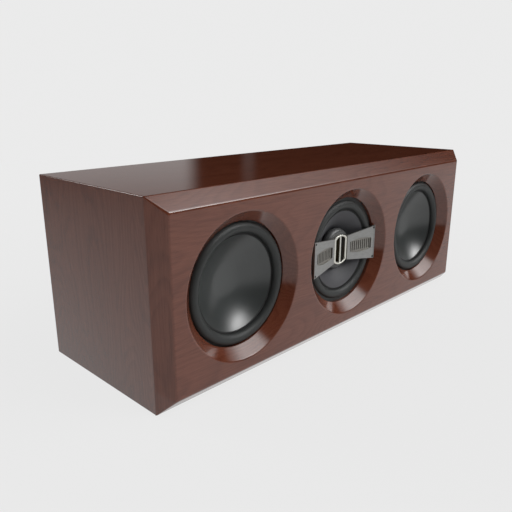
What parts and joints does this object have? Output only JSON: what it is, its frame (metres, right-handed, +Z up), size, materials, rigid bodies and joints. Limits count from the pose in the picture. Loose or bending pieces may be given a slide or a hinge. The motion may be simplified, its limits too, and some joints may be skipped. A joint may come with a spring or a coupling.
{
  "type": "center channel speaker",
  "caption": "Wide bevelled veneer loudspeaker cabinet with flared woofers and a midrange crossed by a louvred bow-tie bridge that carries a small tweeter, with binding posts at the back.",
  "frame": {"origin": "under the middle of the cabinet, on the surface that it stands on", "axes": "+X to the right as seen from the front, along the cabinet; +Y towards the back, so the baffle faces -Y; +Z up"},
  "size_m": [0.608, 0.219, 0.22],
  "materials": {
    "veneer": "dark red-brown veneer under gloss lacquer",
    "rear_board": "black satin paint on fibreboard",
    "inner_board": "bare fibreboard",
    "wadding": "white polyester wadding",
    "steel": "zinc-plated steel",
    "cast_alloy": "cast alloy, black coat",
    "ferrite": "sintered ferrite",
    "rubber": "satin black rubber",
    "cone": "satin dark grey",
    "spider_cloth": "impregnated cloth",
    "copper": "enamelled copper winding",
    "bridge_alloy": "satin silver",
    "pod_plastic": "satin dark grey",
    "gold_trim": "polished pale gold",
    "film": "thin metallised film",
    "cup_plastic": "fine-textured black",
    "brass_post": "gold-plated brass",
    "red_knob_plastic": "gloss red",
    "black_knob_plastic": "gloss black",
    "board": "laminate board",
    "capacitor_plastic": "wrapped film capacitors",
    "lead_plastic": "black insulated lead"
  },
  "bodies": {
    "cabinet": {"front_baffle": "veneer", "top_panel": "veneer", "bottom_panel": "veneer", "left_panel": "veneer", "right_panel": "veneer", "rear_panel": "rear_board", "left_partition": "inner_board", "right_partition": "inner_board", "left_wadding": "wadding", "centre_wadding": "wadding", "right_wadding": "wadding", "driver_screws": "steel", "bridge_plate": "bridge_alloy", "bridge_screws": "steel", "tweeter_housing": "pod_plastic", "tweeter_bezel": "gold_trim", "tweeter_diaphragm": "film", "tweeter_magnet": "ferrite", "terminal_cup": "cup_plastic", "cup_screws": "steel", "red_post": "brass_post", "black_post": "brass_post", "post_nuts": "steel", "crossover_board": "board", "board_standoffs": "cup_plastic", "bass_inductor": "copper", "treble_inductor": "copper", "crossover_capacitors": "capacitor_plastic", "speaker_leads": "lead_plastic", "left_woofer_basket": "cast_alloy", "left_woofer_top_plate": "steel", "left_woofer_magnet": "ferrite", "left_woofer_yoke": "steel", "left_woofer_surround": "rubber", "left_woofer_spider": "spider_cloth", "midrange_basket": "cast_alloy", "midrange_top_plate": "steel", "midrange_magnet": "ferrite", "midrange_yoke": "steel", "midrange_surround": "rubber", "midrange_spider": "spider_cloth", "right_woofer_basket": "cast_alloy", "right_woofer_top_plate": "steel", "right_woofer_magnet": "ferrite", "right_woofer_yoke": "steel", "right_woofer_surround": "rubber", "right_woofer_spider": "spider_cloth"},
    "left_woofer_diaphragm": {"left_woofer_cone": "cone", "left_woofer_dust_cap": "cone", "left_woofer_voice_coil": "copper"},
    "midrange_diaphragm": {"midrange_cone": "cone", "midrange_dust_cap": "cone", "midrange_voice_coil": "copper"},
    "right_woofer_diaphragm": {"right_woofer_cone": "cone", "right_woofer_dust_cap": "cone", "right_woofer_voice_coil": "copper"},
    "red_clamp_washer": {"red_washer": "brass_post"},
    "red_thumb_knob": {"red_knob": "red_knob_plastic"},
    "black_clamp_washer": {"black_washer": "brass_post"},
    "black_thumb_knob": {"black_knob": "black_knob_plastic"}
  },
  "joints": [
    {"name": "left_woofer_excursion", "type": "slide", "parent": "cabinet", "child": "left_woofer_diaphragm", "axis": [0, -1, 0], "range_m": [-0.005, 0.005], "stiffness_N_per_m": 1500, "deforming": ["left_woofer_surround", "left_woofer_spider"]},
    {"name": "midrange_excursion", "type": "slide", "parent": "cabinet", "child": "midrange_diaphragm", "axis": [0, -1, 0], "range_m": [-0.0015, 0.0015], "stiffness_N_per_m": 3000, "deforming": ["midrange_surround", "midrange_spider"]},
    {"name": "right_woofer_excursion", "type": "slide", "parent": "cabinet", "child": "right_woofer_diaphragm", "axis": [0, -1, 0], "range_m": [-0.005, 0.005], "stiffness_N_per_m": 1500, "deforming": ["right_woofer_surround", "right_woofer_spider"]},
    {"name": "black_washer_slide", "type": "slide", "parent": "cabinet", "child": "black_clamp_washer", "axis": [0, 1, 0], "range_m": [0, 0.003]},
    {"name": "black_knob_turn", "type": "hinge", "parent": "black_clamp_washer", "child": "black_thumb_knob", "pos_m": [-0.00953, 0.09, 0.11], "axis": [0, 1, 0], "range_deg": [0, 1080]},
    {"name": "red_washer_slide", "type": "slide", "parent": "cabinet", "child": "red_clamp_washer", "axis": [0, 1, 0], "range_m": [0, 0.003]},
    {"name": "red_knob_turn", "type": "hinge", "parent": "red_clamp_washer", "child": "red_thumb_knob", "pos_m": [0.00953, 0.09, 0.11], "axis": [0, 1, 0], "range_deg": [0, 1080]}
  ],
  "couplings": [
    {"joint": "black_knob_turn", "follows": "black_washer_slide", "rad_per_m": 6283.1},
    {"joint": "red_knob_turn", "follows": "red_washer_slide", "rad_per_m": 6283.1}
  ]
}
